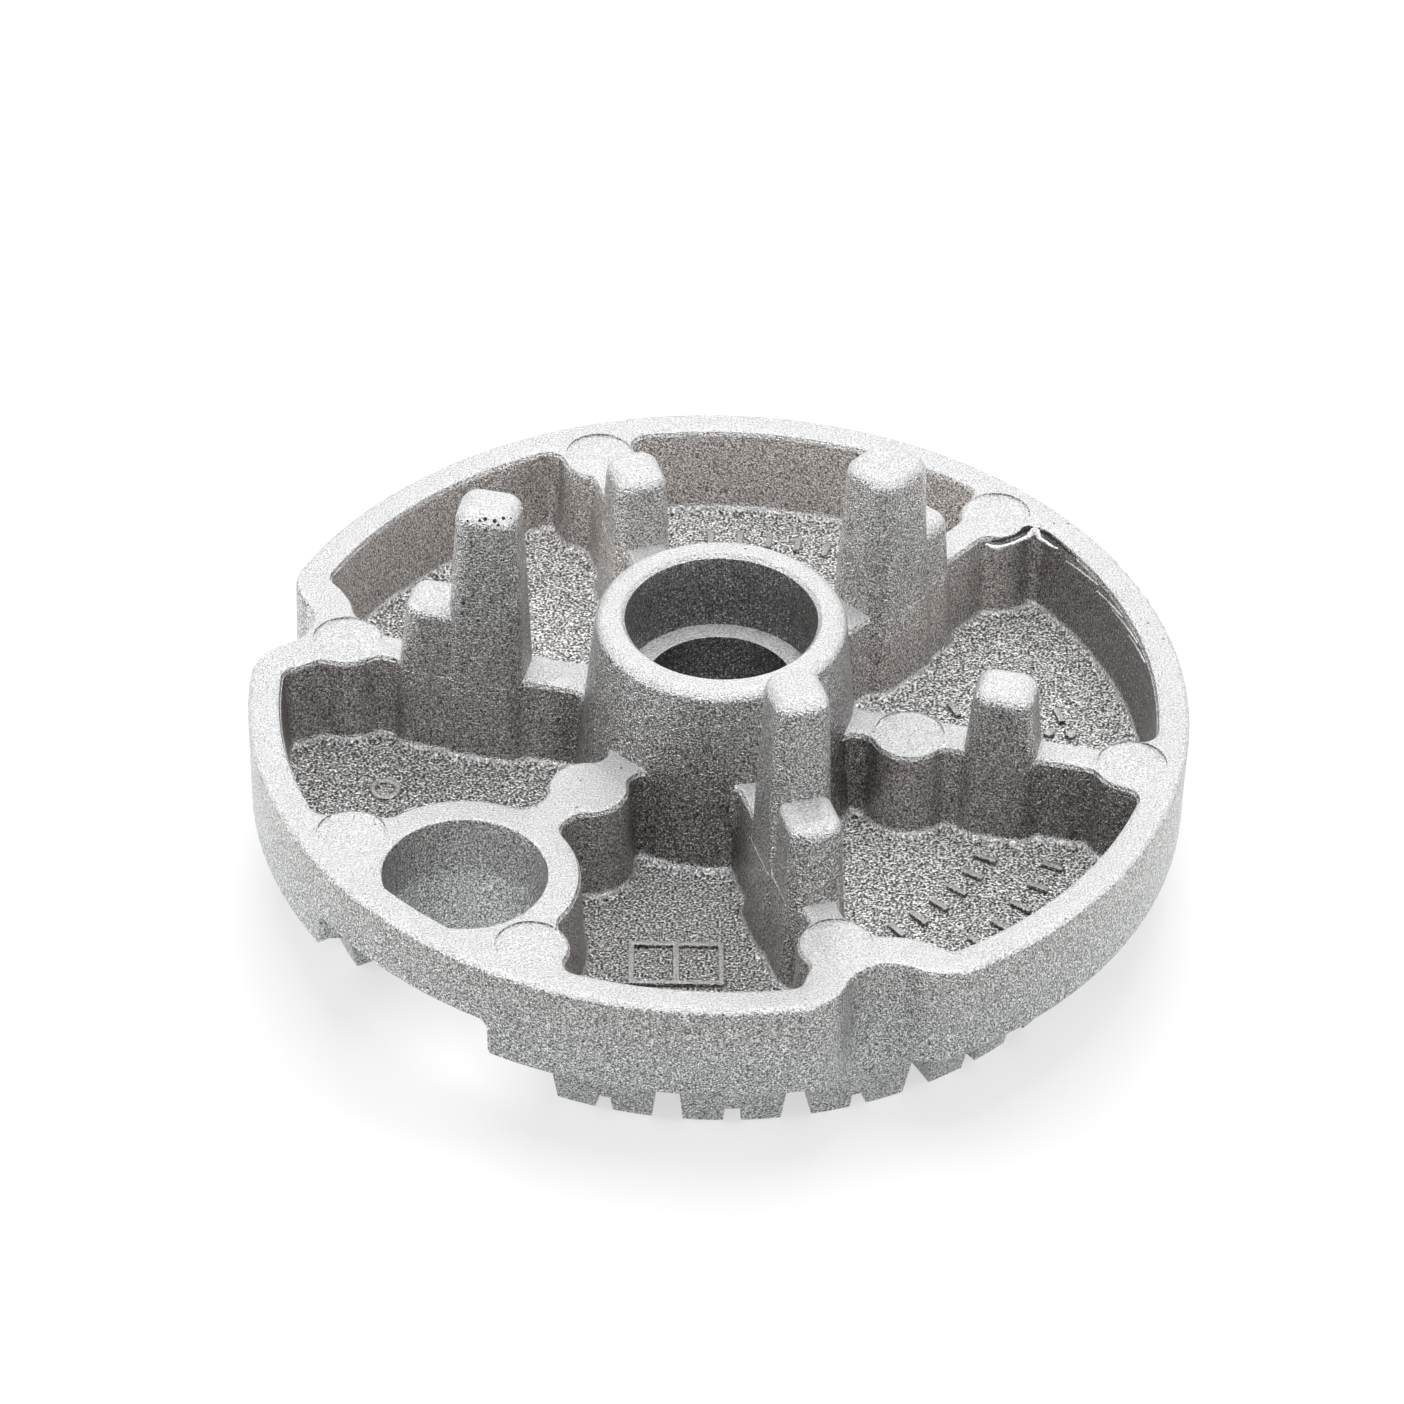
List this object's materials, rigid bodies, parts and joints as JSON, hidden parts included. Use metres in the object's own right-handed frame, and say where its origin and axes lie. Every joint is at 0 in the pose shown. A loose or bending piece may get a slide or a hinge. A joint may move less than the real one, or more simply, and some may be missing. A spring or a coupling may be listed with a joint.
{
  "type": "gas burner crown",
  "caption": "Round cast aluminium gas burner crown, lying with its flame ports down: central gas bore, stepped posts on radial ribs, deep pockets and a hole for the spark electrode.",
  "frame": {"origin": "on the axis of the gas bore, in the plane of the tooth tips that the casting lies on", "axes": "+Z along the bore axis, from the flame ports up to the boss; +X to the right in the picture's view"},
  "size_m": [0.07, 0.07, 0.0305],
  "materials": {
    "cast_aluminium": "shot-blasted raw casting"
  },
  "bodies": {
    "root": {"burner_crown": "cast_aluminium"}
  },
  "joints": []
}
